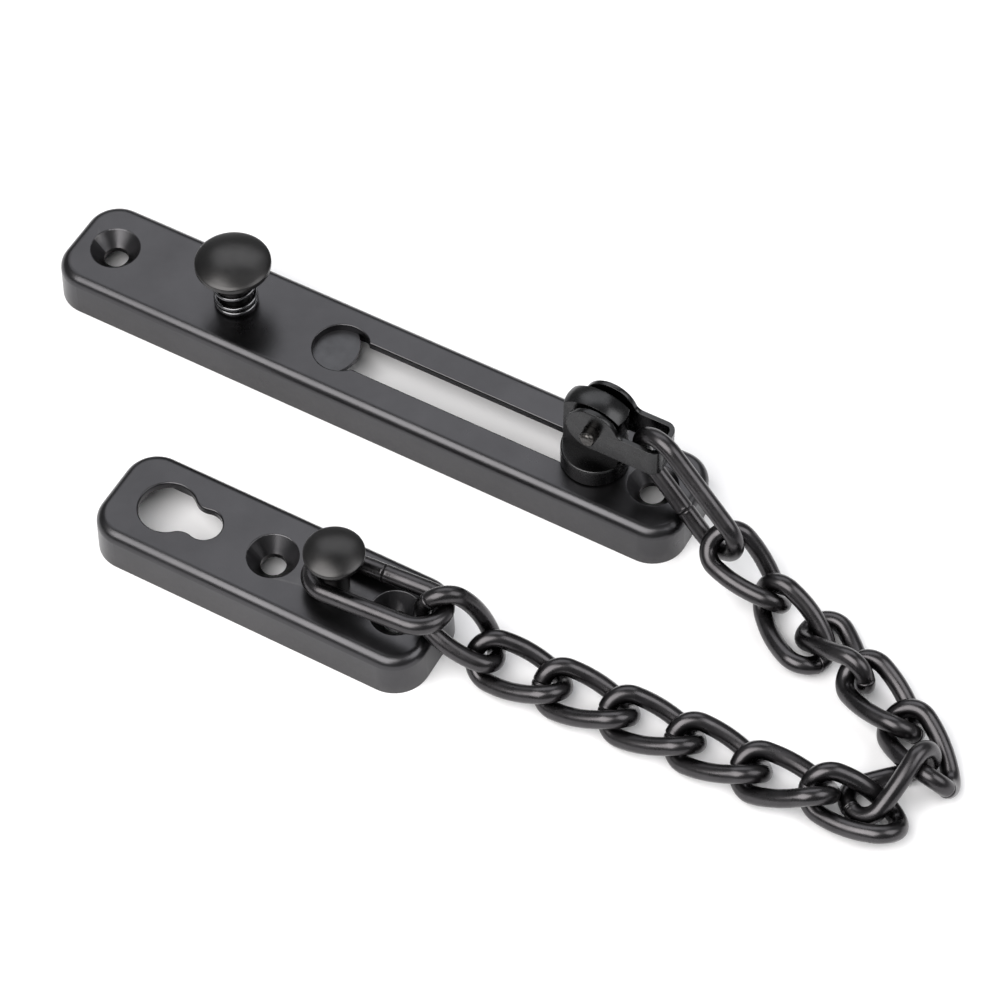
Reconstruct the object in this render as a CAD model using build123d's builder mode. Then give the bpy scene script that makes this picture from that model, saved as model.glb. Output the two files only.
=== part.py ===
from build123d import *
import os
from math import cos, radians, sin, sqrt, tan

# Door chain guard: a slotted track plate for the door, a keeper plate for the frame, and a
# chain between them. Millimetres. X runs along the track plate, Y across it, Z away from the
# mounting surface. The origin is the middle of the track plate's back, on the mounting surface.
# Both plates lie on one surface, with the chain laid out in a loop beside them.

# ---------------------------------------------------------------- pressed plates
PLATE_WIDTH = 26.0
PLATE_HEIGHT = 10.8
SHEET = 1.8
PLATE_CORNER_RADIUS = 8.0
PLATE_EDGE_RADIUS = 2.5
INNER_EDGE_RADIUS = 0.9
WALL_DRAFT = 2.0
SHEET_UNDERSIDE = PLATE_HEIGHT - SHEET
PUNCHED_EDGE_RADIUS = 0.4
TRACK_LENGTH = 161.6
KEEPER_LENGTH = 82.3
KEEPER_X = 6.8
KEEPER_Y = -56.7

# Countersunk screw seats, dished down into the plates
SCREW_RADIUS = 2.85
SEAT_RADIUS = 5.8
SEAT_ANGLE = 84.0
SEAT_DEPTH = (SEAT_RADIUS - SCREW_RADIUS) / tan(radians(SEAT_ANGLE / 2))
SEAT_LAND = 1.2
SEAT_WALL = 1.4
TRACK_SCREW_SPACING = 140.1
KEEPER_SCREW_SPACING = 30.7

# ---------------------------------------------------------------- slot and keyhole
SLOT_WIDTH = 8.4
SLOT_END_X = 55.9
ROUND_HOLE_X = -9.4
ROUND_HOLE_RADIUS = 6.55
KEYHOLE_X = -26.9
KEYHOLE_RADIUS = 6.5
KEYHOLE_NECK_X = -17.4
KEYHOLE_NECK_RADIUS = 4.0
KEYHOLE_BLEND_RADIUS = 4.0

# ---------------------------------------------------------------- spring lock beside the slot
LOCK_X = -37.1
CAP_RADIUS = 8.7
CAP_BOTTOM = 23.7
CAP_RIM_TOP = 25.2
CAP_TOP = 27.4
CAP_EDGE_RADIUS = 0.4
SHANK_RADIUS = 3.5
SHANK_HOLE_RADIUS = 3.58
RIVET_RADIUS = 2.4
RIVET_HEAD_RADIUS = 3.4
RIVET_HEAD = 0.9
LEAF_THICKNESS = 1.2
LEAF_RADIUS = 8.6
LEAF_TIP_X = -5.8
LEAF_TOP = SHEET_UNDERSIDE - 0.1
LEAF_BOTTOM = LEAF_TOP - LEAF_THICKNESS
SPRING_RADIUS = 4.65
SPRING_WIRE_RADIUS = 0.5
SPRING_TURNS = 6
SPRING_GAP = 0.15

# ---------------------------------------------------------------- slider in the slot
SLIDER_X = 55.6
SLIDER_GAP = 0.15
RUNNING_GAP = 0.05
FOOT_RADIUS = 6.2
FOOT_THICKNESS = 1.7
FOOT_TOP = SHEET_UNDERSIDE - SLIDER_GAP
FOOT_BOTTOM = FOOT_TOP - FOOT_THICKNESS
FOOT_EDGE_RADIUS = 0.3
POST_NECK_RADIUS = 4.0
COLLAR_RADIUS = 7.7
COLLAR_BOTTOM = PLATE_HEIGHT + SLIDER_GAP
COLLAR_TOP = 16.0
COLLAR_EDGE_RADIUS = 0.5
TONGUE_RADIUS = 7.2
TONGUE_THICKNESS = 5.1
TONGUE_DOME_RADIUS = 10.5
POST_TOP = 33.0

# ---------------------------------------------------------------- swivel pin and shackle
PIN_X = 57.0
PIN_Z = 27.2
PIN_RADIUS = 1.85
PIN_FRONT = 2.9
PIN_REAR = 0.9
PIN_CHAMFER = 0.4
STRAP = 1.2
SHACKLE_GAP = 7.4
SHACKLE_WIDTH = SHACKLE_GAP + 2 * STRAP
SHACKLE_HEAD_RADIUS = 6.3
SHACKLE_END_X = 73.2
SHACKLE_TOP = 28.5
SHACKLE_BOTTOM = 21.1
SHACKLE_FOLD_RADIUS = 2.6
SHACKLE_NECK_RADIUS = 2.0

# ---------------------------------------------------------------- keeper stud
STUD_X = 16.0
STUD_NECK_RADIUS = 3.0
STUD_CAP_RADIUS = 6.7
STUD_CAP_BOTTOM = 22.2
STUD_RIM_TOP = 23.5
STUD_TOP = 25.3

# ---------------------------------------------------------------- chain
WIRE_RADIUS = 2.0
LINK_HALF_LENGTH = 10.3
LINK_HALF_WIDTH = 5.3
LINK_TWIST = 100.0
LINK_CORNER_RADIUS = 4.4
LINK_SIDE_BULGE = 0.25
LINK_SIDE_RADIUS = 28.0
LONG_HALF_LENGTH = 15.8
LONG_HALF_WIDTH = 6.0

# How each link lies: its centre, then its heading from +X, its rise and its roll in degrees.
# The first is next to the keeper plate and the last is next to the long link on the slider.
CHAIN_LAY = [
    ((52.5, -53.9, 12.0), 10, -43, 23),
    ((66.0, -53.8, 5.3), 5, -4, 11),
    ((81.7, -52.8, 4.7), 4, -1, 2),
    ((97.1, -52.1, 4.7), 4, 0, 0),
    ((112.4, -51.5, 4.7), 1, 1, -2),
    ((127.6, -51.2, 5.8), 3, 9, -3),
    ((142.9, -49.4, 5.2), 3, -9, 12),
    ((147.3, -40.7, 6.0), 60, 15, -52),
    ((149.5, -30.4, 5.3), 145, 0, 10),
    ((137.0, -22.9, 5.4), 154, 2, 7),
    ((123.7, -16.0, 5.1), 147, -15, 37),
    ((111.7, -15.1, 5.4), 150, 14, -29),
    ((98.2, -9.1, 9.0), 168, 23, 7),
]
STUD_LINK_LAY = ((33.0, -56.4, 15.3), 1, 5, -13)
SLIDER_LINK_LAY = ((80.6, -4.4, 19.5), -15, -34, 93)


# ---------------------------------------------------------------- plates
def pressed_plate(length):
    """A plate pressed from one sheet: flat top, rounded edges and a skirt down to the surface."""
    with BuildPart() as hollow:
        with BuildSketch():
            RectangleRounded(length - 2 * SHEET, PLATE_WIDTH - 2 * SHEET, PLATE_CORNER_RADIUS - SHEET)
        extrude(amount=SHEET_UNDERSIDE, taper=WALL_DRAFT)
        fillet(hollow.faces().sort_by(Axis.Z)[-1].edges(), INNER_EDGE_RADIUS)
    with BuildPart() as shell:
        with BuildSketch():
            RectangleRounded(length, PLATE_WIDTH, PLATE_CORNER_RADIUS)
        extrude(amount=PLATE_HEIGHT, taper=WALL_DRAFT)
        fillet(shell.faces().sort_by(Axis.Z)[-1].edges(), PLATE_EDGE_RADIUS)
        add(hollow.part, mode=Mode.SUBTRACT)
    return shell.part


def screw_seats(first_x, spacing):
    """Two countersunk seats in the open plate: sheet dished down around each cone and hole."""
    dish = SEAT_DEPTH + SEAT_LAND - SHEET
    with Locations((first_x, 0, SHEET_UNDERSIDE), (first_x + spacing, 0, SHEET_UNDERSIDE)):
        Cone(
            bottom_radius=SCREW_RADIUS + SEAT_WALL,
            top_radius=SEAT_RADIUS + SEAT_WALL,
            height=dish,
            align=(Align.CENTER, Align.CENTER, Align.MAX),
        )
    with Locations((first_x, 0, PLATE_HEIGHT), (first_x + spacing, 0, PLATE_HEIGHT)):
        CounterSinkHole(
            radius=SCREW_RADIUS,
            counter_sink_radius=SEAT_RADIUS,
            counter_sink_angle=SEAT_ANGLE,
            depth=PLATE_HEIGHT,
        )


def round_punched_edges(plate):
    """Round the rims that the punch left around every opening in the plate's flat top."""
    flat_top = plate.faces().filter_by(GeomType.PLANE).sort_by(Axis.Z)[-1]
    rims = [edge for wire in flat_top.inner_wires() for edge in wire.edges()]
    fillet(rims, PUNCHED_EDGE_RADIUS)


def make_track_plate():
    """The door plate: a long slot with a round entry hole, and the hole for the lock button."""
    slot_length = SLOT_END_X - ROUND_HOLE_X
    with BuildPart() as plate:
        add(pressed_plate(TRACK_LENGTH))
        screw_seats(-TRACK_SCREW_SPACING / 2, TRACK_SCREW_SPACING)
        with BuildSketch(Plane.XY.offset(PLATE_HEIGHT)):
            with Locations((ROUND_HOLE_X, 0)):
                Circle(ROUND_HOLE_RADIUS)
            with Locations((ROUND_HOLE_X + slot_length / 2, 0)):
                SlotCenterToCenter(slot_length, SLOT_WIDTH)
            with Locations((LOCK_X, 0)):
                Circle(SHANK_HOLE_RADIUS)
        extrude(amount=-PLATE_HEIGHT, mode=Mode.SUBTRACT)
        round_punched_edges(plate)
    return plate.part


def make_keeper_plate():
    """The frame plate, about its own middle: a keyhole, two screw seats and the stud's hole."""
    with BuildPart() as plate:
        add(pressed_plate(KEEPER_LENGTH))
        screw_seats(0, KEEPER_SCREW_SPACING)
        with BuildSketch(Plane.XY.offset(PLATE_HEIGHT)) as keyhole:
            with Locations((KEYHOLE_X, 0)):
                Circle(KEYHOLE_RADIUS)
            with Locations((KEYHOLE_NECK_X, 0)):
                Circle(KEYHOLE_NECK_RADIUS)
            waist = keyhole.vertices().sort_by(Axis.Y)
            fillet([waist[0], waist[-1]], KEYHOLE_BLEND_RADIUS)
        extrude(amount=-PLATE_HEIGHT, mode=Mode.SUBTRACT)
        round_punched_edges(plate)
        with BuildSketch(Plane.XY.offset(PLATE_HEIGHT)):
            with Locations((STUD_X, 0)):
                Circle(RIVET_RADIUS)
        extrude(amount=-PLATE_HEIGHT, mode=Mode.SUBTRACT)
    return plate.part


# ---------------------------------------------------------------- turned pieces
def mushroom(joint_bottom, joint_top, neck_radius, cap_bottom, cap_radius, rim_top, cap_top):
    """A stud turned about Z: a rivet through the joint, a neck above it and a domed cap."""
    head_bottom = joint_bottom - RIVET_HEAD
    with BuildPart() as stud:
        with BuildSketch(Plane.XZ) as profile:
            with BuildLine():
                Polyline(
                    (0, cap_top),
                    (0, head_bottom),
                    (RIVET_HEAD_RADIUS, head_bottom),
                    (RIVET_HEAD_RADIUS, joint_bottom),
                    (RIVET_RADIUS, joint_bottom),
                    (RIVET_RADIUS, joint_top),
                    (neck_radius, joint_top),
                    (neck_radius, cap_bottom),
                    (cap_radius, cap_bottom),
                    (cap_radius, rim_top),
                )
                TangentArc((0, cap_top), (cap_radius, rim_top), tangent=(1, 0))
            make_face()
            fillet(profile.vertices().group_by(Axis.X)[-1], CAP_EDGE_RADIUS)
        revolve(axis=Axis.Z)
    return stud.part


def make_lock_button():
    """The lock's push button, riveted through the leaf under the sheet."""
    return mushroom(LEAF_BOTTOM, LEAF_TOP, SHANK_RADIUS, CAP_BOTTOM, CAP_RADIUS, CAP_RIM_TOP, CAP_TOP)


def make_keeper_stud():
    """The fixed stud that holds the chain's end link, riveted through the keeper's sheet."""
    return mushroom(
        SHEET_UNDERSIDE,
        PLATE_HEIGHT,
        STUD_NECK_RADIUS,
        STUD_CAP_BOTTOM,
        STUD_CAP_RADIUS,
        STUD_RIM_TOP,
        STUD_TOP,
    )


def make_lock_leaf():
    """The stop leaf under the sheet: its tip bars the slider's foot from the round hole."""
    tip_centre = LEAF_TIP_X - LEAF_RADIUS
    leaf_length = tip_centre - LOCK_X
    with BuildPart() as leaf:
        with BuildSketch(Plane.XY.offset(LEAF_BOTTOM)):
            with Locations((LOCK_X + leaf_length / 2, 0)):
                SlotCenterToCenter(leaf_length, 2 * LEAF_RADIUS)
            with Locations((LOCK_X, 0)):
                Circle(RIVET_RADIUS, mode=Mode.SUBTRACT)
        extrude(amount=LEAF_THICKNESS)
    return leaf.part


def make_lock_spring():
    """The compression spring between the plate and the button's cap, about its own axis."""
    bottom = PLATE_HEIGHT + SPRING_GAP + SPRING_WIRE_RADIUS
    top = CAP_BOTTOM - SPRING_GAP - SPRING_WIRE_RADIUS
    with BuildPart() as spring:
        with BuildLine() as coil:
            Helix(pitch=(top - bottom) / SPRING_TURNS, height=top - bottom, radius=SPRING_RADIUS)
        with BuildSketch(Plane(origin=coil.line @ 0, z_dir=coil.line % 0)):
            Circle(SPRING_WIRE_RADIUS)
        sweep(path=coil.line, is_frenet=True)
    return Pos(0, 0, bottom) * spring.part


# ---------------------------------------------------------------- slider, pin and shackle
def make_slider_foot():
    """The washer that holds the slider under the sheet."""
    with BuildPart() as foot:
        with BuildSketch(Plane.XY.offset(FOOT_BOTTOM)):
            Circle(FOOT_RADIUS)
            Circle(RIVET_RADIUS + RUNNING_GAP, mode=Mode.SUBTRACT)
        extrude(amount=FOOT_THICKNESS)
        rims = foot.edges().filter_by(GeomType.CIRCLE).group_by(SortBy.RADIUS)[-1]
        fillet(rims, FOOT_EDGE_RADIUS)
    return foot.part


def make_slider_post():
    """The slider: rivet, neck in the slot, collar on the plate and a flat domed tongue."""
    head_top = FOOT_BOTTOM - RUNNING_GAP
    neck_bottom = FOOT_TOP + RUNNING_GAP
    dome = TONGUE_DOME_RADIUS - sqrt(TONGUE_DOME_RADIUS**2 - TONGUE_RADIUS**2)
    with BuildPart() as post:
        with BuildSketch(Plane.XZ) as profile:
            with BuildLine():
                Polyline(
                    (0, POST_TOP),
                    (0, head_top - RIVET_HEAD),
                    (RIVET_HEAD_RADIUS, head_top - RIVET_HEAD),
                    (RIVET_HEAD_RADIUS, head_top),
                    (RIVET_RADIUS, head_top),
                    (RIVET_RADIUS, neck_bottom),
                    (POST_NECK_RADIUS, neck_bottom),
                    (POST_NECK_RADIUS, COLLAR_BOTTOM),
                    (COLLAR_RADIUS, COLLAR_BOTTOM),
                    (COLLAR_RADIUS, COLLAR_TOP),
                    (TONGUE_RADIUS, COLLAR_TOP),
                    (TONGUE_RADIUS, POST_TOP - dome),
                )
                TangentArc((0, POST_TOP), (TONGUE_RADIUS, POST_TOP - dome), tangent=(1, 0))
            make_face()
            fillet(profile.vertices().group_by(Axis.X)[-1], COLLAR_EDGE_RADIUS)
        revolve(axis=Axis.Z)
        with BuildSketch(Plane.XY.offset(COLLAR_TOP)):
            Rectangle(2 * COLLAR_RADIUS, 2 * COLLAR_RADIUS)
            Rectangle(2 * COLLAR_RADIUS, TONGUE_THICKNESS, mode=Mode.SUBTRACT)
        extrude(amount=POST_TOP - COLLAR_TOP, mode=Mode.SUBTRACT)
        with BuildSketch(Plane.XZ):
            with Locations((PIN_X - SLIDER_X, PIN_Z)):
                Circle(PIN_RADIUS + RUNNING_GAP)
        extrude(amount=TONGUE_THICKNESS, both=True, mode=Mode.SUBTRACT)
    return post.part


def make_swivel_pin():
    """The pin through the shackle's ears and the tongue."""
    front = SHACKLE_WIDTH / 2 + PIN_FRONT
    rear = SHACKLE_WIDTH / 2 + PIN_REAR
    with BuildPart() as pin:
        with BuildSketch(Plane.XZ.offset(-rear)):
            with Locations((PIN_X, PIN_Z)):
                Circle(PIN_RADIUS)
        extrude(amount=front + rear)
        chamfer(pin.edges().filter_by(GeomType.CIRCLE), PIN_CHAMFER)
    return pin.part


def make_shackle():
    """A strap folded into a U: two round ears on the pin and a cross strap for the long link."""
    ear_x = PIN_X - SHACKLE_HEAD_RADIUS
    strap_length = SHACKLE_END_X - ear_x
    side_height = SHACKLE_TOP - SHACKLE_BOTTOM
    with BuildPart() as shackle:
        with BuildSketch(Plane.XY.offset(SHACKLE_BOTTOM)):
            with Locations((ear_x, 0)):
                with BuildSketch(mode=Mode.PRIVATE) as outside:
                    Rectangle(strap_length, SHACKLE_WIDTH, align=(Align.MIN, Align.CENTER))
                    fillet(outside.vertices().group_by(Axis.X)[-1], SHACKLE_FOLD_RADIUS)
                with BuildSketch(mode=Mode.PRIVATE) as inside:
                    Rectangle(strap_length - STRAP, SHACKLE_GAP, align=(Align.MIN, Align.CENTER))
                    fillet(inside.vertices().group_by(Axis.X)[-1], SHACKLE_FOLD_RADIUS - STRAP)
                add(outside.sketch)
                add(inside.sketch, mode=Mode.SUBTRACT)
        extrude(amount=PIN_Z + SHACKLE_HEAD_RADIUS - SHACKLE_BOTTOM)
        with BuildSketch(Plane.XZ) as side:
            with Locations((PIN_X, SHACKLE_BOTTOM)):
                Rectangle(SHACKLE_END_X - PIN_X, side_height, align=(Align.MIN, Align.MIN))
            with Locations((PIN_X, PIN_Z)):
                Circle(SHACKLE_HEAD_RADIUS)
            waist = side.vertices().group_by(Axis.Y)[-1].sort_by(Axis.X)[0]
            fillet(waist, SHACKLE_NECK_RADIUS)
            with Locations((PIN_X, PIN_Z)):
                Circle(PIN_RADIUS, mode=Mode.SUBTRACT)
        extrude(amount=SHACKLE_WIDTH, both=True, mode=Mode.INTERSECT)
    return shackle.part


# ---------------------------------------------------------------- chain links
def wire_along(half_paths):
    """Round wire swept along the two halves of a closed link."""
    with BuildPart() as link:
        for corners, radii in half_paths:
            with BuildLine() as half:
                FilletPolyline(*corners, radius=radii)
            with BuildSketch(Plane(origin=half.line @ 0, z_dir=half.line % 0)):
                Circle(WIRE_RADIUS)
            sweep(path=half.line)
    return link.part


def make_twisted_link():
    """A short link whose two ends are twisted about its length, so that the chain lies flat."""
    turn = radians(LINK_TWIST / 2)
    across = LINK_HALF_WIDTH * cos(turn)
    lift = LINK_HALF_WIDTH * sin(turn)
    bulge = LINK_HALF_WIDTH + LINK_SIDE_BULGE
    radii = [LINK_CORNER_RADIUS, LINK_SIDE_RADIUS, LINK_CORNER_RADIUS]
    halves = []
    for side in (1, -1):
        corners = [
            (-LINK_HALF_LENGTH, 0, 0),
            (-LINK_HALF_LENGTH, side * across, side * lift),
            (0, side * bulge, 0),
            (LINK_HALF_LENGTH, side * across, -side * lift),
            (LINK_HALF_LENGTH, 0, 0),
        ]
        halves.append((corners, radii))
    return wire_along(halves)


def make_long_link():
    """A long flat link with straight sides and round ends."""
    shoulder = LONG_HALF_LENGTH - LONG_HALF_WIDTH
    with BuildPart() as link:
        for side in (1, -1):
            with BuildLine() as half:
                lead = JernArc((-LONG_HALF_LENGTH, 0), (0, side), LONG_HALF_WIDTH, -90 * side)
                straight = Line(lead @ 1, (shoulder, side * LONG_HALF_WIDTH))
                JernArc(straight @ 1, (1, 0), LONG_HALF_WIDTH, -90 * side)
            with BuildSketch(Plane(origin=half.line @ 0, z_dir=half.line % 0)):
                Circle(WIRE_RADIUS)
            sweep(path=half.line)
    return link.part


def lay_down(link, lay):
    """A link moved to where it lies: rolled about its length, raised, headed and placed."""
    centre, heading, rise, roll = lay
    return Pos(*centre) * Rot(0, 0, heading) * Rot(0, -rise, 0) * Rot(roll, 0, 0) * link


# ---------------------------------------------------------------- every piece in its place
twisted_link = make_twisted_link()
long_link = make_long_link()
keeper_place = Pos(KEEPER_X, KEEPER_Y, 0)

pieces = {
    "track_plate": make_track_plate(),
    "lock_button": Pos(LOCK_X, 0, 0) * make_lock_button(),
    "lock_spring": Pos(LOCK_X, 0, 0) * make_lock_spring(),
    "lock_leaf": make_lock_leaf(),
    "slider_foot": Pos(SLIDER_X, 0, 0) * make_slider_foot(),
    "slider_post": Pos(SLIDER_X, 0, 0) * make_slider_post(),
    "swivel_pin": make_swivel_pin(),
    "shackle": make_shackle(),
    "slider_long_link": lay_down(long_link, SLIDER_LINK_LAY),
    "stud_long_link": lay_down(long_link, STUD_LINK_LAY),
    "keeper_stud": keeper_place * Pos(STUD_X, 0, 0) * make_keeper_stud(),
    "keeper_plate": keeper_place * make_keeper_plate(),
}
for number, lay in enumerate(CHAIN_LAY, start=1):
    pieces[f"chain_link_{number:02d}"] = lay_down(twisted_link, lay)

os.makedirs("parts", exist_ok=True)
for name, piece in pieces.items():
    piece.label = name
    export_step(piece, f"parts/{name}.step")
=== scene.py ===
import math
import random

import bmesh
import bpy
from mathutils import Matrix, Vector


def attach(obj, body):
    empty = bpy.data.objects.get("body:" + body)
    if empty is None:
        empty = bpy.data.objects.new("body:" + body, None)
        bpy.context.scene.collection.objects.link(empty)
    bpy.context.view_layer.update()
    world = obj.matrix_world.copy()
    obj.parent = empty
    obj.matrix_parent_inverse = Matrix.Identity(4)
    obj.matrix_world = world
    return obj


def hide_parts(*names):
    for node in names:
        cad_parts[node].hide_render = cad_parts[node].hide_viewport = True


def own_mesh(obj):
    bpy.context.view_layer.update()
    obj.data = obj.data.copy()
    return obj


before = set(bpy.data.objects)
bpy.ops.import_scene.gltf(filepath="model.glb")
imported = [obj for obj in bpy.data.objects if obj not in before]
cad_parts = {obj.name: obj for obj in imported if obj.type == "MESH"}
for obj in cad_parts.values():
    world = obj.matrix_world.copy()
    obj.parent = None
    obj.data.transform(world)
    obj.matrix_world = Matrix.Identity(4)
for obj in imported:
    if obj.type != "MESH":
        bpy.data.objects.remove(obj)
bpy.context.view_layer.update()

random.seed(11)
MM = 0.001
TAU = 2 * math.pi

# ------------------------------------------------------------------ sizes and lay of the chain, in mm
WIRE_RADIUS = 2.0
LINK_HALF_LENGTH = 10.3
LINK_HALF_WIDTH = 5.3
LINK_TWIST = 100.0
LINK_CORNER_RADIUS = 4.4
LINK_SIDE_BULGE = 0.25
LINK_SIDE_RADIUS = 28.0
LONG_HALF_LENGTH = 15.8
LONG_HALF_WIDTH = 6.0
# Each lay is a centre, then heading, rise and roll in degrees. Link 01 hangs on the stud's long link.
CHAIN_LAY = [
    ((52.5, -53.9, 12.0), 10, -43, 23),
    ((66.0, -53.8, 5.3), 5, -4, 11),
    ((81.7, -52.8, 4.7), 4, -1, 2),
    ((97.1, -52.1, 4.7), 4, 0, 0),
    ((112.4, -51.5, 4.7), 1, 1, -2),
    ((127.6, -51.2, 5.8), 3, 9, -3),
    ((142.9, -49.4, 5.2), 3, -9, 12),
    ((147.3, -40.7, 6.0), 60, 15, -52),
    ((149.5, -30.4, 5.3), 145, 0, 10),
    ((137.0, -22.9, 5.4), 154, 2, 7),
    ((123.7, -16.0, 5.1), 147, -15, 37),
    ((111.7, -15.1, 5.4), 150, 14, -29),
    ((98.2, -9.1, 9.0), 168, 23, 7),
]
STUD_LINK_LAY = ((33.0, -56.4, 15.3), 1, 5, -13)
SLIDER_LINK_LAY = ((80.6, -4.4, 19.5), -15, -34, 93)

# ------------------------------------------------------------------ mesh helpers
MERGE_DISTANCE = 1e-7
WIRE_SHARP, TURNED_SHARP, SLIDER_SHARP, PIN_SHARP = 60, 38, 40, 50
AXIS = 0.001  # the radius at which a turned face closes on its axis


def new_object(name, data):
    piece = bpy.data.objects.new(name, data)
    bpy.context.scene.collection.objects.link(piece)
    return piece


def mesh_piece(name, vertices, faces):
    """A smooth mesh from points in millimetres."""
    mesh = bpy.data.meshes.new(name)
    mesh.from_pydata([tuple(c * MM for c in v) for v in vertices], [], faces)
    mesh.validate()
    for polygon in mesh.polygons:
        polygon.use_smooth = True
    mesh.update()
    return new_object(name, mesh)


def fix_normals(piece, sharp):
    """Close seams, turn every face outward and crease the edges above the sharp angle in degrees."""
    limit = math.radians(sharp)
    work = bmesh.new()
    work.from_mesh(piece.data)
    bmesh.ops.remove_doubles(work, verts=work.verts, dist=MERGE_DISTANCE)
    bmesh.ops.recalc_face_normals(work, faces=work.faces)
    for edge in work.edges:
        if len(edge.link_faces) == 2 and edge.calc_face_angle(0) > limit:
            edge.smooth = False
    work.to_mesh(piece.data)
    work.free()


def run_along(points, end, step):
    """Straight points from the last one to the end, about one step apart."""
    start = points[-1]
    steps = max(1, round((end - start).length / step))
    for i in range(1, steps + 1):
        points.append(start.lerp(end, i / steps))


def rounded_points(corners, radii, step):
    """Points along straight runs joined by tangent arcs, about one step apart."""
    corners = [Vector(c) for c in corners]
    points = [corners[0]]
    for before, corner, after, radius in zip(corners, corners[1:], corners[2:], radii):
        a = (before - corner).normalized()
        b = (after - corner).normalized()
        half = a.angle(b) / 2
        reach = radius / math.tan(half)
        start = corner + a * reach
        end = corner + b * reach
        centre = corner + (a + b).normalized() * (radius / math.sin(half))
        run_along(points, start, step)
        turn = math.pi - 2 * half
        spin = math.sin(turn)
        steps = max(2, round(radius * turn / step))
        for i in range(1, steps + 1):
            t = i / steps
            near = math.sin((1 - t) * turn) / spin
            far = math.sin(t * turn) / spin
            points.append(centre + (start - centre) * near + (end - centre) * far)
    run_along(points, corners[-1], step)
    return points


def arc(centre, radius, first, last, steps):
    """Flat points on an arc, from the first to the last angle in degrees."""
    points = []
    for i in range(steps + 1):
        angle = math.radians(first + (last - first) * i / steps)
        points.append((centre[0] + radius * math.cos(angle), centre[1] + radius * math.sin(angle)))
    return points


def even_loop(points, count, passes):
    """A closed loop resampled to even steps and softened, so that bends ease into the sides."""
    closed = points + [points[0]]
    lengths = [0.0]
    for a, b in zip(closed, closed[1:]):
        lengths.append(lengths[-1] + (b - a).length)
    total = lengths[-1]
    loop, k = [], 0
    for i in range(count):
        s = total * i / count
        while lengths[k + 1] < s:
            k += 1
        share = (s - lengths[k]) / (lengths[k + 1] - lengths[k])
        loop.append(closed[k].lerp(closed[k + 1], share))
    for _ in range(passes):
        loop = [
            loop[i] * 0.5 + (loop[i - 1] + loop[(i + 1) % count]) * 0.25
            for i in range(count)
        ]
    return loop, total


def tube(points, radius_at, closed, sides):
    """Vertices and faces of round wire along points, with frames that don't twist."""
    count = len(points)
    tangents = []
    for i in range(count):
        if closed:
            after, before = points[(i + 1) % count], points[i - 1]
        else:
            after, before = points[min(i + 1, count - 1)], points[max(i - 1, 0)]
        tangents.append((after - before).normalized())
    normal = tangents[0].orthogonal().normalized()
    frames = []
    for i in range(count):
        if i:
            normal = tangents[i - 1].rotation_difference(tangents[i]) @ normal
        frames.append(normal.copy())
    slip = 0.0
    if closed:
        back = tangents[-1].rotation_difference(tangents[0]) @ frames[-1]
        slip = math.atan2(back.cross(frames[0]).dot(tangents[0]), back.dot(frames[0]))
    vertices, faces = [], []
    for i in range(count):
        turn = Matrix.Rotation(slip * i / count, 3, tangents[i])
        n = turn @ frames[i]
        b = tangents[i].cross(n)
        for k in range(sides):
            angle = TAU * k / sides
            out = n * math.cos(angle) + b * math.sin(angle)
            vertices.append(points[i] + out * radius_at(i, angle))
    rings = count if closed else count - 1
    for i in range(rings):
        low, high = i * sides, ((i + 1) % count) * sides
        for k in range(sides):
            n = (k + 1) % sides
            faces.append((low + k, low + n, high + n, high + k))
    if not closed:
        faces.append(tuple(range(sides))[::-1])
        faces.append(tuple((count - 1) * sides + k for k in range(sides)))
    return vertices, faces


def stacked_rings(rows, segments):
    """Faces between rings of vertices, with a face that closes each end."""
    faces = []
    for i in range(rows - 1):
        low, high = i * segments, (i + 1) * segments
        for k in range(segments):
            n = (k + 1) % segments
            faces.append((low + k, high + k, high + n, low + n))
    faces.append(tuple(range(segments)))
    faces.append(tuple((rows - 1) * segments + k for k in range(segments))[::-1])
    return faces


def lathe(name, profile, centre, segments):
    """A piece turned about a vertical axis from (radius, height) points."""
    vertices = []
    for radius, height in profile:
        for k in range(segments):
            angle = TAU * k / segments
            x = centre[0] + radius * math.cos(angle)
            y = centre[1] + radius * math.sin(angle)
            vertices.append((x, y, height))
    piece = mesh_piece(name, vertices, stacked_rings(len(profile), segments))
    fix_normals(piece, TURNED_SHARP)
    return piece


def lay_matrix(lay):
    centre, heading, rise, roll = lay
    return (
        Matrix.Translation(Vector(centre))
        @ Matrix.Rotation(math.radians(heading), 4, "Z")
        @ Matrix.Rotation(math.radians(-rise), 4, "Y")
        @ Matrix.Rotation(math.radians(roll), 4, "X")
    )


# ------------------------------------------------------------------ finishes
NOISE_ROUGHNESS = 0.6
NOISE_LOW, NOISE_HIGH = 0.3, 0.7
COLOUR_LOW, COLOUR_HIGH = 0.35, 0.65
GLOSS_SCALE = 2.3  # how much finer the gloss varies than the colour
FINE_SCALE, FINE_DEPTH = 2600, 0.00002
GRAIN_DEPTH = 0.00003
# Painted edge highlight: the pointiness range, the noise scale and the pale colour that convex edges are
# lightened towards.
EDGE_LOW, EDGE_HIGH = 0.53, 0.62
EDGE_HIGHLIGHT_SCALE = 900
EDGE_HIGHLIGHT_COLOUR = (0.30, 0.29, 0.28, 1)


def set_inputs(node, values):
    for socket, value in values.items():
        node.inputs[socket].default_value = value


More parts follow.
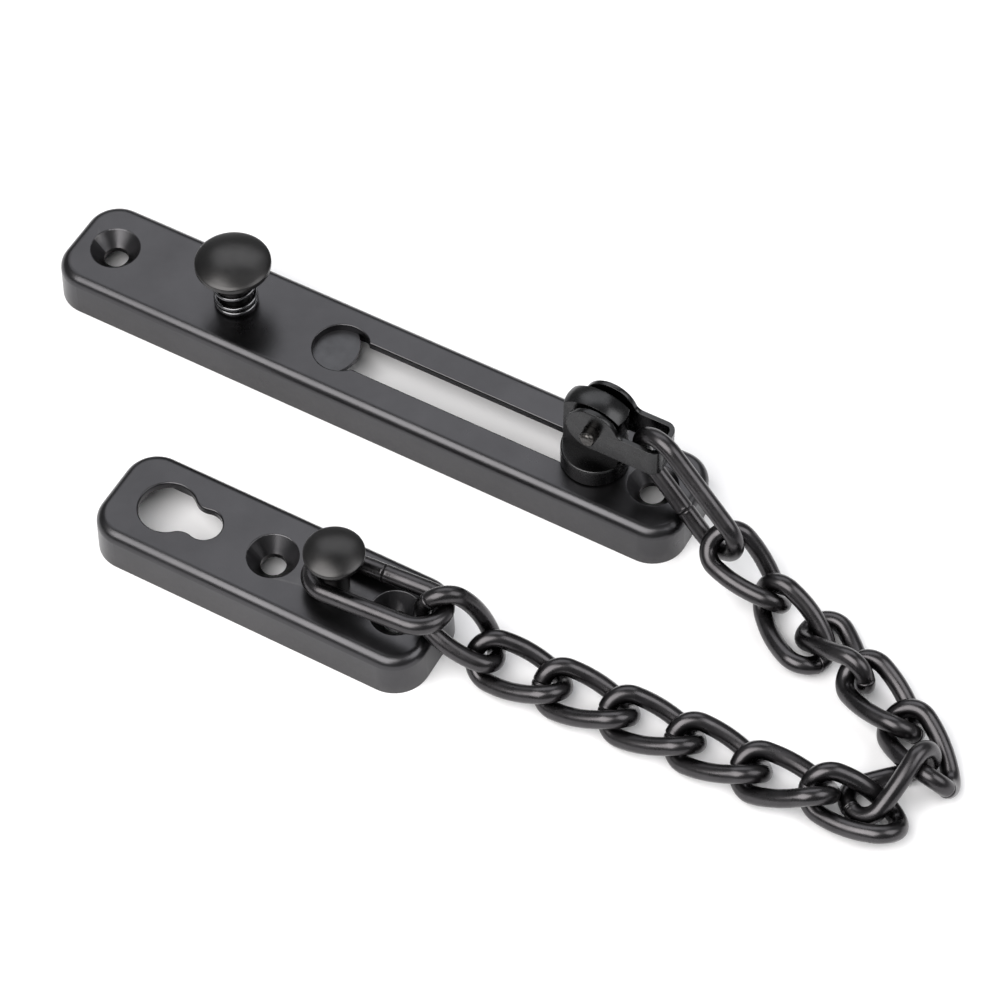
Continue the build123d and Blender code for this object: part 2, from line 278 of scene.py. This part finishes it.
def material(name, colour, roughness, cloud_scale, vary, bump, grain=None, edge_highlight=0.0, rough_vary=0.08):
    """A metallic coating: uneven colour and gloss, a fine bump, drawn grain and a painted highlight on
    convex edges.
    """
    made = bpy.data.materials.new(name + "_finish")
    made["slot"] = name
    made.use_nodes = True
    nodes, links = made.node_tree.nodes, made.node_tree.links
    shader = nodes["Principled BSDF"]
    set_inputs(shader, {"Metallic": 1.0})
    place = nodes.new("ShaderNodeTexCoord")

    def noise(scale, detail, stretch=(1, 1, 1)):
        mapping = nodes.new("ShaderNodeMapping")
        set_inputs(mapping, {"Scale": stretch})
        texture = nodes.new("ShaderNodeTexNoise")
        set_inputs(texture, {"Scale": scale, "Detail": detail, "Roughness": NOISE_ROUGHNESS})
        links.new(place.outputs["Object"], mapping.inputs["Vector"])
        links.new(mapping.outputs["Vector"], texture.inputs["Vector"])
        return texture.outputs["Fac"]

    def bumped(height, strength, distance):
        node = nodes.new("ShaderNodeBump")
        set_inputs(node, {"Strength": strength, "Distance": distance})
        links.new(height, node.inputs["Height"])
        return node

    ramp = nodes.new("ShaderNodeValToRGB")
    darker, lighter = ramp.color_ramp.elements
    darker.position, lighter.position = COLOUR_LOW, COLOUR_HIGH
    darker.color = tuple(c * (1 - vary) for c in colour) + (1,)
    lighter.color = tuple(c * (1 + vary) for c in colour) + (1,)
    links.new(noise(cloud_scale, detail=4), ramp.inputs["Fac"])
    colour_out = ramp.outputs["Color"]
    # Painted highlight: convex edges, found by pointiness, are mixed towards a pale colour in noisy patches.
    if edge_highlight:
        geometry = nodes.new("ShaderNodeNewGeometry")
        edge = nodes.new("ShaderNodeMapRange")
        set_inputs(edge, {"From Min": EDGE_LOW, "From Max": EDGE_HIGH, "To Max": edge_highlight})
        links.new(geometry.outputs["Pointiness"], edge.inputs["Value"])
        edge_highlight_mask = nodes.new("ShaderNodeMath")
        edge_highlight_mask.operation = "MULTIPLY"
        links.new(edge.outputs["Result"], edge_highlight_mask.inputs[0])
        links.new(noise(EDGE_HIGHLIGHT_SCALE, detail=3), edge_highlight_mask.inputs[1])
        mix = nodes.new("ShaderNodeMix")
        mix.data_type = "RGBA"
        links.new(edge_highlight_mask.outputs[0], mix.inputs["Factor"])
        links.new(colour_out, mix.inputs["A"])
        set_inputs(mix, {"B": EDGE_HIGHLIGHT_COLOUR})
        colour_out = mix.outputs["Result"]
    links.new(colour_out, shader.inputs["Base Color"])

    gloss = nodes.new("ShaderNodeMapRange")
    set_inputs(gloss, {
        "From Min": NOISE_LOW,
        "From Max": NOISE_HIGH,
        "To Min": roughness - rough_vary,
        "To Max": roughness + rough_vary,
    })
    links.new(noise(cloud_scale * GLOSS_SCALE, detail=5), gloss.inputs["Value"])
    links.new(gloss.outputs["Result"], shader.inputs["Roughness"])

    surface = bumped(noise(FINE_SCALE, detail=2), bump, FINE_DEPTH)
    if grain:
        height = noise(grain["scale"], detail=3, stretch=grain["stretch"])
        drawn = bumped(height, grain["strength"], GRAIN_DEPTH)
        links.new(surface.outputs["Normal"], drawn.inputs["Normal"])
        surface = drawn
    links.new(surface.outputs["Normal"], shader.inputs["Normal"])
    return made


# The plates' finish carries the painted highlight on their convex edges.
plate_black = material(
    "plate_black", (0.060, 0.059, 0.062), roughness=0.30, rough_vary=0.03, cloud_scale=55, vary=0.07,
    bump=0.35, edge_highlight=0.20, grain={"strength": 0.35, "stretch": (1.0, 0.12, 0.12), "scale": 1500},
)
cap_black = material(
    "cap_black", (0.048, 0.047, 0.047), roughness=0.33, rough_vary=0.04, cloud_scale=90, vary=0.07,
    bump=0.30,
)
slider_black = material(
    "slider_black", (0.042, 0.042, 0.043), roughness=0.27, rough_vary=0.05, cloud_scale=160, vary=0.10,
    bump=0.45,
)
pin_black = material(
    "pin_black", (0.070, 0.067, 0.064), roughness=0.27, cloud_scale=300, vary=0.25, bump=0.8,
)
chain_black = material(
    "chain_black", (0.062, 0.0595, 0.062), roughness=0.29, rough_vary=0.05, cloud_scale=140, vary=0.14,
    bump=0.25, grain={"strength": 0.20, "stretch": (1.0, 1.0, 1.0), "scale": 420},
)
spring_steel = material(
    "spring_steel", (0.13, 0.13, 0.135), roughness=0.18, rough_vary=0.03, cloud_scale=260, vary=0.12,
    bump=0.1,
)
leaf_steel = material(
    "leaf_steel", (0.075, 0.075, 0.079), roughness=0.42, cloud_scale=120, vary=0.08,
    bump=0.3, grain={"strength": 0.3, "stretch": (0.1, 1, 1), "scale": 1500},
)

CAD_FINISH = {
    "track_plate": plate_black,
    "keeper_plate": plate_black,
    "lock_leaf": leaf_steel,
    "slider_foot": slider_black,
}
for node, finish in CAD_FINISH.items():
    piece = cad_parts[node]
    piece.data.materials.clear()
    piece.data.materials.append(finish)


def dress(piece, finish, body, *nodes):
    """The finish, the body that a piece moves with and the CAD nodes that it stands in for."""
    piece.data.materials.append(finish)
    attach(piece, body)
    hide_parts(*nodes)


def dress_even(piece, finish, body, *nodes):
    """The same, with flat faces shaded flat right up to their rounded edges."""
    normals = piece.modifiers.new("even_normals", "WEIGHTED_NORMAL")
    normals.keep_sharp = True
    dress(piece, finish, body, *nodes)


# ------------------------------------------------------------------ chain
POINT_STEP = 0.4
SOFT_PASSES = 10
WIRE_SIDES = 36
SHORT_COUNT, LONG_COUNT = 300, 400
LONG_END_STEPS = 48
# The seam: a groove between two raised lips, whose sides miss each other by a slip that fades away.
GROOVE_WIDTH, GROOVE_DEPTH = 0.16, 0.22
LIP_HEIGHT, LIP_PLACE, LIP_WIDTH = 0.05, 0.5, 0.25
LIP_EVEN, LIP_UNEVEN, LIP_WAVES = 0.6, 0.4, 3
SLIP, SLIP_FADE = 0.10, 1.6
FINE_SPAN, FINE_PARTS = 4, 6
STUD_SEAM_X, SLIDER_SEAM_X = -1.5, 3.1


def wire_link(name, loop_points, seam_at, lay, body, count=SHORT_COUNT):
    """A closed link of round wire, with the butt seam where the two ends meet."""
    loop, total = even_loop(loop_points, count, SOFT_PASSES)
    seam = min(range(count), key=lambda i: (loop[i] - Vector(seam_at)).length)
    loop = loop[seam:] + loop[:seam]
    step = total / count
    dense = []
    for i in range(count):
        parts = FINE_PARTS if i < FINE_SPAN or i >= count - FINE_SPAN else 1
        for j in range(parts):
            s = (i + j / parts) * step
            point = loop[i].lerp(loop[(i + 1) % count], j / parts)
            dense.append((s if s < total / 2 else s - total, point))
    along = (loop[1] - loop[-1]).normalized()
    across = Matrix.Rotation(random.uniform(0, TAU), 3, along) @ along.orthogonal().normalized()
    points = []
    for s, point in dense:
        lead = SLIP * math.exp(-abs(s) / SLIP_FADE) * (0.5 if s >= 0 else -0.5)
        points.append(point + across * lead)

    def radius_at(i, angle):
        s = dense[i][0]
        groove = GROOVE_DEPTH * math.exp(-((s / GROOVE_WIDTH) ** 2))
        lip = LIP_HEIGHT * math.exp(-(((abs(s) - LIP_PLACE) / LIP_WIDTH) ** 2))
        ragged = LIP_EVEN + LIP_UNEVEN * math.sin(angle * LIP_WAVES + seam)
        return WIRE_RADIUS - groove + lip * ragged

    place = lay_matrix(lay)
    vertices, faces = tube(points, radius_at, True, WIRE_SIDES)
    piece = mesh_piece(name, [place @ v for v in vertices], faces)
    fix_normals(piece, WIRE_SHARP)
    dress_even(piece, chain_black, body, body)


def twisted_loop():
    """The middle line of a short link, whose two ends are turned against each other."""
    turn = math.radians(LINK_TWIST / 2)
    across = LINK_HALF_WIDTH * math.cos(turn)
    lift = LINK_HALF_WIDTH * math.sin(turn)
    bulge = LINK_HALF_WIDTH + LINK_SIDE_BULGE
    radii = [LINK_CORNER_RADIUS, LINK_SIDE_RADIUS, LINK_CORNER_RADIUS]
    halves = []
    for side in (1, -1):
        corners = [
            (-LINK_HALF_LENGTH, 0, 0),
            (-LINK_HALF_LENGTH, side * across, side * lift),
            (0, side * bulge, 0),
            (LINK_HALF_LENGTH, side * across, -side * lift),
            (LINK_HALF_LENGTH, 0, 0),
        ]
        halves.append(rounded_points(corners, radii, POINT_STEP))
    return halves[0] + halves[1][-2:0:-1]


def long_loop():
    """The middle line of a long link: two straight sides and two half circles."""
    shoulder = LONG_HALF_LENGTH - LONG_HALF_WIDTH
    ends = arc((shoulder, 0), LONG_HALF_WIDTH, -90, 90, LONG_END_STEPS)
    ends += arc((-shoulder, 0), LONG_HALF_WIDTH, 90, 270, LONG_END_STEPS)
    points = [Vector((x, y, 0)) for x, y in ends]
    full = [points[0]]
    for point in points[1:] + [points[0]]:
        run_along(full, point, POINT_STEP)
    return full[:-1]


short_points = twisted_loop()
for number, lay in enumerate(CHAIN_LAY, start=1):
    node = f"chain_link_{number:02d}"
    wire_link(node + "_wire", short_points, (-LINK_HALF_LENGTH, 0, 0), lay, node)
long_points = long_loop()
wire_link("stud_long_link_wire", long_points, (STUD_SEAM_X, LONG_HALF_WIDTH, 0), STUD_LINK_LAY,
          "stud_long_link", LONG_COUNT)
wire_link("slider_long_link_wire", long_points, (SLIDER_SEAM_X, -LONG_HALF_WIDTH, 0), SLIDER_LINK_LAY,
          "slider_long_link", LONG_COUNT)

# ------------------------------------------------------------------ lock button and stud
LOCK_CENTRE = (-37.1, 0.0)
STUD_CENTRE = (22.8, -56.7)
CAP_SEGMENTS = 160
RIVET_RADIUS, RIVET_EDGE, SHANK_RADIUS = 3.4, 0.3, 2.4
NECK_EDGE = 0.35
LOWER_RIM, LOWER_FLAT = 0.4, 0.45
UPPER_RIM, UPPER_RIM_LIFT = 0.35, 0.06
RIM_STEPS, DOME_STEPS = 6, 40


def rivet_profile(head_low, joint_low, joint_top):
    """A rivet's head and its shank through the joint, from the axis outward and up."""
    return [
        (AXIS, head_low),
        (RIVET_RADIUS - RIVET_EDGE, head_low),
        (RIVET_RADIUS, head_low + RIVET_EDGE),
        (RIVET_RADIUS, joint_low),
        (SHANK_RADIUS, joint_low),
        (SHANK_RADIUS, joint_top),
    ]


def cap_profile(rivet, neck_radius, cap_low, radius, rim_top, top):
    """A mushroom: rivet, neck, flat underside, soft rim and dome."""
    joint_top = rivet[-1]
    points = rivet_profile(*rivet)
    points += [(neck_radius, joint_top), (neck_radius, cap_low - NECK_EDGE)]
    points += [(neck_radius + NECK_EDGE, cap_low), (radius - LOWER_FLAT, cap_low)]
    points += arc((radius - LOWER_RIM, cap_low + LOWER_RIM), LOWER_RIM, -90, 0, RIM_STEPS)
    rise = top - rim_top
    dome = (radius * radius + rise * rise) / (2 * rise)
    edge = math.degrees(math.asin((radius - UPPER_RIM) / dome))
    rim_centre = (radius - UPPER_RIM, rim_top - UPPER_RIM + UPPER_RIM_LIFT)
    points += arc(rim_centre, UPPER_RIM, 0, 90 - edge, RIM_STEPS)
    for i in range(1, DOME_STEPS):
        angle = math.radians(edge * (1 - i / DOME_STEPS))
        points.append((dome * math.sin(angle), top - dome + dome * math.cos(angle)))
    points.append((AXIS, top))
    return points


button_profile = cap_profile(
    (6.8, 7.7, 8.9), neck_radius=3.5, cap_low=23.7, radius=8.7, rim_top=25.2, top=27.4)
button = lathe("lock_button_turned", button_profile, LOCK_CENTRE, CAP_SEGMENTS)
dress_even(button, cap_black, "lock", "lock_button")
stud_profile = cap_profile(
    (8.1, 9.0, 10.8), neck_radius=3.0, cap_low=22.2, radius=6.7, rim_top=23.5, top=25.3)
stud = lathe("keeper_stud_turned", stud_profile, STUD_CENTRE, CAP_SEGMENTS)
dress_even(stud, cap_black, "keeper", "keeper_stud")

# ------------------------------------------------------------------ lock spring
SPRING_FOOT, SPRING_HEAD = 11.45, 23.05
SPRING_RADIUS, SPRING_WIRE = 4.65, 0.5
SPRING_SIDES = 16
COIL_TURNS, COIL_STEPS = 4.8, 64
COIL_START = 150  # degrees
COIL_STOPS = [(0.0, 0.0), (1.0, 1.2), (1.5, 2.3), (3.6, 10.0), (4.1, 10.9), (COIL_TURNS, 11.6)]
COIL_EASE = (-0.15, -0.07, 0, 0.07, 0.15)  # turns over which a change of pitch is averaged


def spring_height(turns):
    """Height of the wire after so many turns: a closed coil, open coils, then a closed coil."""
    for (a, low), (b, high) in zip(COIL_STOPS, COIL_STOPS[1:]):
        if turns <= b:
            t = (turns - a) / (b - a)
            return low + (high - low) * t
    return COIL_STOPS[-1][1]


coil_points = []
for i in range(int(COIL_TURNS * COIL_STEPS) + 1):
    turns = i / COIL_STEPS
    angle = TAU * turns + math.radians(COIL_START)
    heights = [spring_height(min(COIL_TURNS, max(0.0, turns + d))) for d in COIL_EASE]
    rise = sum(heights) / len(heights)
    x = LOCK_CENTRE[0] + SPRING_RADIUS * math.cos(angle)
    y = LOCK_CENTRE[1] + SPRING_RADIUS * math.sin(angle)
    coil_points.append(Vector((x, y, SPRING_FOOT + min(rise, SPRING_HEAD - SPRING_FOOT))))
coil_vertices, coil_faces = tube(coil_points, lambda i, angle: SPRING_WIRE, False, SPRING_SIDES)
spring = mesh_piece("lock_spring_coil", coil_vertices, coil_faces)
fix_normals(spring, WIRE_SHARP)
dress(spring, spring_steel, "track_plate", "lock_spring")
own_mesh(spring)

# ------------------------------------------------------------------ slider post
SLIDER_X = 55.6
POST_SEGMENTS = 144
POST_RIVET = (6.2, 7.1, 8.9)
POST_NECK_RADIUS = 4.0
COLLAR_RADIUS, COLLAR_LOW, COLLAR_TOP = 7.7, 10.95, 16.0
COLLAR_LOWER_EDGE, COLLAR_UPPER_EDGE = 0.5, 0.4
TONGUE_RADIUS, TONGUE_LOW, TONGUE_TOP = 7.2, 15.2, 33.0
TONGUE_HALF = 2.55
TONGUE_DOME = 10.5
TONGUE_EDGE = 0.22
# The rim between the tongue's wall and its dome is an arc about a centre below the shoulder.
TONGUE_WALL_DROP = 0.6
RIM_RADIUS, RIM_CENTRE, RIM_DROP = 0.45, 6.75, 0.32
RIM_START, RIM_END, TONGUE_RIM_STEPS = 8, 6.85, 5  # the first angle in degrees, the last distance
DOME_EDGE, DOME_SPACING, DOME_RINGS = 6.6, 0.4, 15


def smooth_all(piece):
    for polygon in piece.data.polygons:
        polygon.use_smooth = True
    fix_normals(piece, SLIDER_SHARP)


def join_parts(piece, other):
    """Two closed shells in one mesh."""
    work = bmesh.new()
    work.from_mesh(piece.data)
    work.from_mesh(other.data)
    bpy.data.objects.remove(other)
    work.to_mesh(piece.data)
    work.free()


def dome_height(radius):
    """Height of the tongue's dome at a distance from its axis."""
    return TONGUE_TOP - TONGUE_DOME + math.sqrt(TONGUE_DOME**2 - radius**2)


def tongue_profile():
    shoulder = dome_height(TONGUE_RADIUS)
    edge = math.degrees(math.asin(RIM_END / TONGUE_DOME))
    points = [(AXIS, TONGUE_LOW), (TONGUE_RADIUS, TONGUE_LOW), (TONGUE_RADIUS, shoulder - TONGUE_WALL_DROP)]
    points += arc((RIM_CENTRE, shoulder - RIM_DROP), RIM_RADIUS, RIM_START, 90 - edge, TONGUE_RIM_STEPS)
    rings = [DOME_EDGE - DOME_SPACING * k for k in range(1, DOME_RINGS + 1)]
    points += [(radius, dome_height(radius)) for radius in rings]
    points += [(AXIS, TONGUE_TOP)]
    return points


def collar_profile():
    points = rivet_profile(*POST_RIVET)
    points += [(POST_NECK_RADIUS, POST_RIVET[-1]), (POST_NECK_RADIUS, COLLAR_LOW)]
    lower = COLLAR_RADIUS - COLLAR_LOWER_EDGE
    upper = COLLAR_RADIUS - COLLAR_UPPER_EDGE
    points += [(lower, COLLAR_LOW)]
    points += arc((lower, COLLAR_LOW + COLLAR_LOWER_EDGE), COLLAR_LOWER_EDGE, -90, 0, RIM_STEPS)
    points += arc((upper, COLLAR_TOP - COLLAR_UPPER_EDGE), COLLAR_UPPER_EDGE, 0, 90, RIM_STEPS)
    points += [(AXIS, COLLAR_TOP)]
    return points


def make_post():
    """Rivet head, neck and collar turned in one, with the tongue's two flats cut from a dome."""
    collar = lathe("slider_post_turned", collar_profile(), (SLIDER_X, 0), POST_SEGMENTS)
    tongue = lathe("tongue", tongue_profile(), (SLIDER_X, 0), POST_SEGMENTS)
    work = bmesh.new()
    work.from_mesh(tongue.data)
    for side in (1, -1):
        cut = bmesh.ops.bisect_plane(
            work,
            geom=work.verts[:] + work.edges[:] + work.faces[:],
            plane_co=(0, side * TONGUE_HALF * MM, 0),
            plane_no=(0, side, 0),
            clear_outer=True,
        )
        edges = [e for e in cut["geom_cut"] if isinstance(e, bmesh.types.BMEdge)]
        bmesh.ops.edgeloop_fill(work, edges=edges)
    bmesh.ops.recalc_face_normals(work, faces=work.faces)
    limit = math.radians(SLIDER_SHARP)
    rims = [e for e in work.edges if len(e.link_faces) == 2 and e.calc_face_angle(0) > limit]
    bmesh.ops.bevel(
        work, geom=rims, offset=TONGUE_EDGE * MM, segments=3, profile=0.5, affect="EDGES", clamp_overlap=True
    )
    work.to_mesh(tongue.data)
    work.free()
    join_parts(collar, tongue)
    smooth_all(collar)
    return collar


# ------------------------------------------------------------------ shackle and pin
PIN_X, PIN_Z, PIN_RADIUS = 57.0, 27.2, 1.85
STRAP = 1.2
STRAP_EDGE = 0.14
SHACKLE_HALF = 4.9
SHACKLE_END_X = 73.2
SHACKLE_LOW, SHACKLE_TOP = 21.1, 28.5
HEAD_RADIUS, WAIST_RADIUS = 6.3, 2.0
FOLD_RADIUS = 2.6
HEAD_STEPS, WAIST_STEPS, FOLD_CUTS = 64, 12, 10
HOLE_SPACING = 10  # degrees


def ear_outline():
    """One ear seen from the side: a soft waist on top of the strap, then the round head."""
    head_low = math.degrees(math.asin((SHACKLE_LOW - PIN_Z) / HEAD_RADIUS))
    rise = SHACKLE_TOP + WAIST_RADIUS - PIN_Z
    reach = math.sqrt((HEAD_RADIUS + WAIST_RADIUS) ** 2 - rise**2)
    touch = math.degrees(math.atan2(rise, reach))
    waist = arc((PIN_X + reach, SHACKLE_TOP + WAIST_RADIUS), WAIST_RADIUS, -90, touch - 180, WAIST_STEPS)
    return waist + arc((PIN_X, PIN_Z), HEAD_RADIUS, touch, 360 + head_low, HEAD_STEPS)


def flat_strap(mirror):
    """The strap before it is folded: both ears and both pin holes, in the XY plane."""
    ear = ear_outline()
    hole = arc((PIN_X, PIN_Z), PIN_RADIUS, 0, 360 - HOLE_SPACING, 360 // HOLE_SPACING - 1)
    outline = [(mirror - x, z) for x, z in reversed(ear)] + ear
    curve = bpy.data.curves.new("strap", "CURVE")
    curve.dimensions = "2D"
    curve.fill_mode = "BOTH"
    curve.extrude = (STRAP / 2 - STRAP_EDGE) * MM
    curve.bevel_depth = STRAP_EDGE * MM
    curve.bevel_resolution = 2
    curve.offset = -STRAP_EDGE * MM
    for points in (outline, hole, [(mirror - x, z) for x, z in hole]):
        spline = curve.splines.new("POLY")
        spline.points.add(len(points) - 1)
        for point, (x, z) in zip(spline.points, points):
            point.co = (x * MM, z * MM, 0, 1)
        spline.use_cyclic_u = True
    flat = new_object("strap_flat", curve)
    graph = bpy.context.evaluated_depsgraph_get()
    graph.update()
    mesh = bpy.data.meshes.new_from_object(flat.evaluated_get(graph))
    bpy.data.objects.remove(flat)
    return mesh


def make_shackle():
    """One strap: two ears with heads, folded round the far end. Built flat, then bent."""
    straight_end = SHACKLE_END_X - FOLD_RADIUS
    middle = FOLD_RADIUS - STRAP / 2
    quarter = math.pi / 2 * middle
    end_half = SHACKLE_HALF - FOLD_RADIUS
    mirror = 2 * straight_end + 2 * quarter + 2 * end_half
    work = bmesh.new()
    work.from_mesh(flat_strap(mirror))
    bmesh.ops.remove_doubles(work, verts=work.verts, dist=MERGE_DISTANCE)
    cuts = [straight_end + quarter * k / FOLD_CUTS for k in range(FOLD_CUTS + 1)]
    cuts += [mirror - c for c in cuts]
    for cut in cuts:
        bmesh.ops.bisect_plane(
            work,
            geom=work.verts[:] + work.edges[:] + work.faces[:],
            plane_co=(cut * MM, 0, 0),
            plane_no=(1, 0, 0),
        )
    for vertex in work.verts:
        u, z, depth = vertex.co.x / MM, vertex.co.y / MM, vertex.co.z / MM
        mirrored = u > mirror / 2
        if mirrored:
            u = mirror - u
        radius = middle + depth
        if u <= straight_end:
            x, y = u, -(SHACKLE_HALF - STRAP / 2 + depth)
        elif u <= straight_end + quarter:
            turn = (u - straight_end) / middle
            x = straight_end + radius * math.sin(turn)
            y = -end_half - radius * math.cos(turn)
        else:
            x = straight_end + radius
            y = -end_half + (u - straight_end - quarter)
        vertex.co = Vector((x, -y if mirrored else y, z)) * MM
    bmesh.ops.recalc_face_normals(work, faces=work.faces)
    shackle_mesh = bpy.data.meshes.new("shackle_strap")
    work.to_mesh(shackle_mesh)
    work.free()
    strap = new_object("shackle_strap", shackle_mesh)
    smooth_all(strap)
    return strap


# The pin as (radius, distance from its near end): an upset end, a shank and a flat rivet head.
PIN_PROFILE = [
    (AXIS, 0.12), (0.7, 0.02), (1.15, 0.0), (1.5, 0.10), (1.72, 0.32), (PIN_RADIUS, 0.7),
    (PIN_RADIUS, 1.2), (1.78, 1.5), (PIN_RADIUS, 1.9), (PIN_RADIUS, 13.1), (1.6, 13.45), (1.1, 13.6),
    (AXIS, 13.6),
]
PIN_NEAR_Y = -7.8
PIN_SEGMENTS = 72
# Hammer marks at the near end: flats round the side and a dent in the face, each with its phase.
PIN_FLATS, PIN_FLAT_DEPTH, PIN_FLAT_REACH, PIN_FLAT_PHASE = 3, 0.045, 1.4, 0.6
PIN_DENT, PIN_DENT_REACH, PIN_DENT_PHASE = 0.10, 0.4, 0.8


def make_pin():
    """The pin, with its near end upset by the hammer and its far end riveted flat."""
    vertices = []
    for radius, along in PIN_PROFILE:
        for k in range(PIN_SEGMENTS):
            angle = TAU * k / PIN_SEGMENTS
            kept = radius
            if along < PIN_FLAT_REACH:
                wave = max(0.0, math.cos(PIN_FLATS * angle + PIN_FLAT_PHASE))
                kept *= 1 - PIN_FLAT_DEPTH * wave**3
            dent = 0.0
            if along < PIN_DENT_REACH:
                wave = math.sin(2 * angle + PIN_DENT_PHASE)
                dent = max(0.0, PIN_DENT * wave * (radius / PIN_RADIUS))
            x = PIN_X + kept * math.cos(angle)
            z = PIN_Z + kept * math.sin(angle)
            vertices.append((x, PIN_NEAR_Y + along + dent, z))
    pin = mesh_piece("swivel_pin_upset", vertices, stacked_rings(len(PIN_PROFILE), PIN_SEGMENTS))
    fix_normals(pin, PIN_SHARP)
    return pin


dress_even(make_post(), slider_black, "slider_post", "slider_post")
dress_even(make_shackle(), slider_black, "shackle", "shackle")
dress_even(make_pin(), pin_black, "shackle", "swivel_pin")

# ------------------------------------------------------------------ camera
CAMERA_PLACE = Vector((253.98, -400.91, 615.36))
CAMERA_TARGET = Vector((39.06, -13.15, 0))
CAMERA_ROLL = -0.09
SENSOR_WIDTH = 36.0
LENS_PIXELS, IMAGE_PIXELS = 3403, 1001

camera = new_object("camera", bpy.data.cameras.new("camera"))
camera.location = CAMERA_PLACE * MM
aim = (CAMERA_TARGET * MM - camera.location).normalized()
turned = aim.to_track_quat("-Z", "Y").to_matrix() @ Matrix.Rotation(math.radians(CAMERA_ROLL), 3, "Z")
camera.matrix_world = Matrix.Translation(camera.location) @ turned.to_4x4()
camera.data.sensor_width = SENSOR_WIDTH
camera.data.lens = LENS_PIXELS / IMAGE_PIXELS * SENSOR_WIDTH
camera.data.clip_start = 0.01
camera.data.clip_end = 20.0
bpy.context.scene.camera = camera

# ------------------------------------------------------------------ floor and light
FLOOR_HALF = 4
floor_mesh = bpy.data.meshes.new("floor")
floor_corners = [(x * FLOOR_HALF, y * FLOOR_HALF, 0) for x, y in ((-1, -1), (1, -1), (1, 1), (-1, 1))]
floor_mesh.from_pydata(floor_corners, [], [(0, 1, 2, 3)])
floor = new_object("floor", floor_mesh)
paper = bpy.data.materials.new("paper")
paper.use_nodes = True
set_inputs(paper.node_tree.nodes["Principled BSDF"], {
    "Base Color": (0.93, 0.93, 0.94, 1),
    "Roughness": 0.9,
    "Specular IOR Level": 0.0,
})
floor.data.materials.append(paper)

world = bpy.data.worlds.new("studio")
bpy.context.scene.world = world
world.use_nodes = True
set_inputs(world.node_tree.nodes["Background"], {"Color": (0.97, 0.98, 1.0, 1), "Strength": 0.25})

CENTRE = Vector((0.039, -0.013, 0.01))


def softbox(name, azimuth, elevation, distance, width, height, radiance, tint=(1, 1, 1)):
    """A soft panel that faces the middle of the object. Azimuth 0 is in front, 90 to the right."""
    a, e = math.radians(azimuth), math.radians(elevation)
    back = Vector((math.sin(a) * math.cos(e), -math.cos(a) * math.cos(e), math.sin(e)))
    data = bpy.data.lights.new(name, "AREA")
    data.shape = "RECTANGLE"
    data.size = width
    data.size_y = height
    data.energy = radiance * width * height * math.pi
    data.color = tint
    lamp = new_object(name, data)
    lamp.location = CENTRE + back * distance
    lamp.rotation_mode = "QUATERNION"
    lamp.rotation_quaternion = back.to_track_quat("Z", "Y")


softbox("key", azimuth=-16, elevation=53, distance=1.0, width=0.95, height=0.85, radiance=5.6,
        tint=(1.0, 0.985, 0.97))
softbox("right", azimuth=105, elevation=45, distance=1.1, width=0.75, height=0.75, radiance=3.0)
softbox("back", azimuth=209, elevation=50, distance=1.3, width=1.3, height=0.85, radiance=1.75,
        tint=(0.97, 0.98, 1.0))

bpy.context.scene.view_settings.view_transform = "Standard"
bpy.context.scene.view_settings.look = "None"
